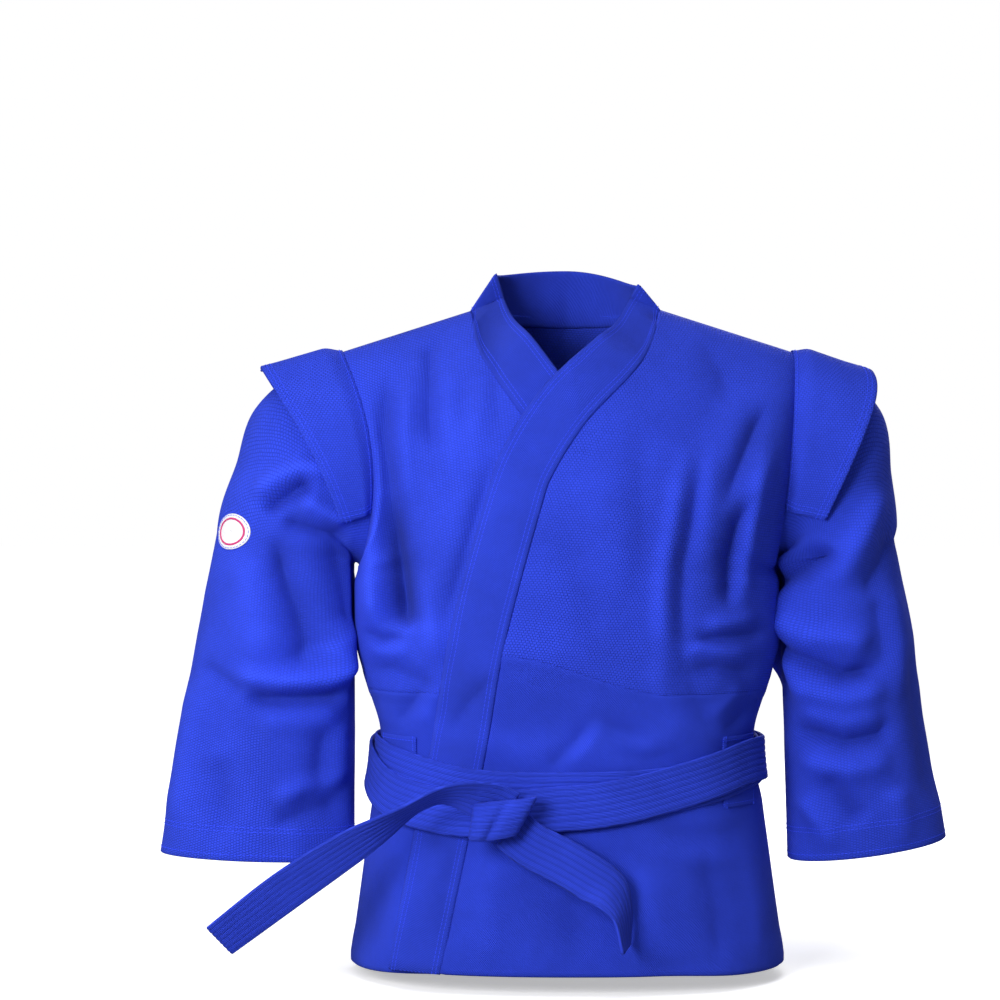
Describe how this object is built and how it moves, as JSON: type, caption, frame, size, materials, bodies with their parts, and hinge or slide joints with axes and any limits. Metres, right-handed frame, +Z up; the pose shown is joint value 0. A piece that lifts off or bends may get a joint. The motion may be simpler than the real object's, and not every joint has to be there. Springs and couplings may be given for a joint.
{
  "type": "martial arts jacket with belt",
  "caption": "Blue wrap jacket for jacket wrestling: quilted lapel, set-in sleeves, shoulder wings over the sleeve heads, skirted waist and a belt tied in front.",
  "frame": {"origin": "base of the wearer's neck, midway between the shoulder seams at the neck, level with the tops of the shoulder seams", "axes": "+Z up, the wearer faces -Y, and +X is the wearer's left"},
  "size_m": [0.7264, 0.2785, 0.6384],
  "materials": {
    "rice_grain_cloth": "matt rice-grain woven cotton, dyed royal blue",
    "sleeve_cloth": "matt woven cotton with a small honeycomb",
    "skirt_cloth": "smoother woven cotton with fine ribs",
    "lapel_band": "folded and stitched cotton drill",
    "lining_cloth": "plain blue cotton",
    "belt_webbing": "layered cotton belt with rows of stitching",
    "badge": "plain white woven badge with a coloured rim, no mark"
  },
  "bodies": {
    "jacket": {"right_front": "rice_grain_cloth", "right_skirt": "skirt_cloth", "right_lapel": "lapel_band", "right_shoulder_lining": "lining_cloth", "right_slot_patch": "skirt_cloth", "left_front": "rice_grain_cloth", "left_skirt": "skirt_cloth", "left_lapel": "lapel_band", "left_shoulder_lining": "lining_cloth", "left_slot_patch": "skirt_cloth", "upper_back": "rice_grain_cloth", "back_skirt": "skirt_cloth", "neck_collar": "lapel_band", "belt_inner_wrap": "belt_webbing", "belt_outer_wrap": "belt_webbing", "belt_knot": "belt_webbing"},
    "right_sleeve": {"right_sleeve": "sleeve_cloth", "right_cuff_facing": "lining_cloth", "right_sleeve_badge": "badge"},
    "left_sleeve": {"left_sleeve": "sleeve_cloth", "left_cuff_facing": "lining_cloth"},
    "right_wing": {"right_wing": "rice_grain_cloth", "right_wing_lining": "lining_cloth"},
    "left_wing": {"left_wing": "rice_grain_cloth", "left_wing_lining": "lining_cloth"},
    "belt_long_tail": {"belt_long_tail": "belt_webbing"},
    "belt_short_tail": {"belt_short_tail": "belt_webbing"}
  },
  "joints": [
    {"name": "right_sleeve_lift", "type": "hinge", "parent": "jacket", "child": "right_sleeve", "pos_m": [-0.208, 0, -0.03675], "axis": [0, 1, 0], "range_deg": [0, 60]},
    {"name": "left_sleeve_lift", "type": "hinge", "parent": "jacket", "child": "left_sleeve", "pos_m": [0.208, 0, -0.03675], "axis": [0, -1, 0], "range_deg": [0, 60]},
    {"name": "right_wing_lift", "type": "hinge", "parent": "jacket", "child": "right_wing", "pos_m": [-0.208, 0, -0.03675], "axis": [0, 1, 0], "range_deg": [0, 60]},
    {"name": "left_wing_lift", "type": "hinge", "parent": "jacket", "child": "left_wing", "pos_m": [0.208, 0, -0.03675], "axis": [0, -1, 0], "range_deg": [0, 60]},
    {"name": "belt_long_tail_swing", "type": "hinge", "parent": "jacket", "child": "belt_long_tail", "pos_m": [-0.078, -0.14, -0.44], "axis": [0, 1, 0], "range_deg": [-60, 15]},
    {"name": "belt_short_tail_swing", "type": "hinge", "parent": "jacket", "child": "belt_short_tail", "pos_m": [-0.038, -0.13, -0.462], "axis": [0, 1, 0], "range_deg": [-25, 20]}
  ],
  "couplings": [
    {"joint": "right_wing_lift", "follows": "right_sleeve_lift", "ratio": 1},
    {"joint": "left_wing_lift", "follows": "left_sleeve_lift", "ratio": 1}
  ]
}
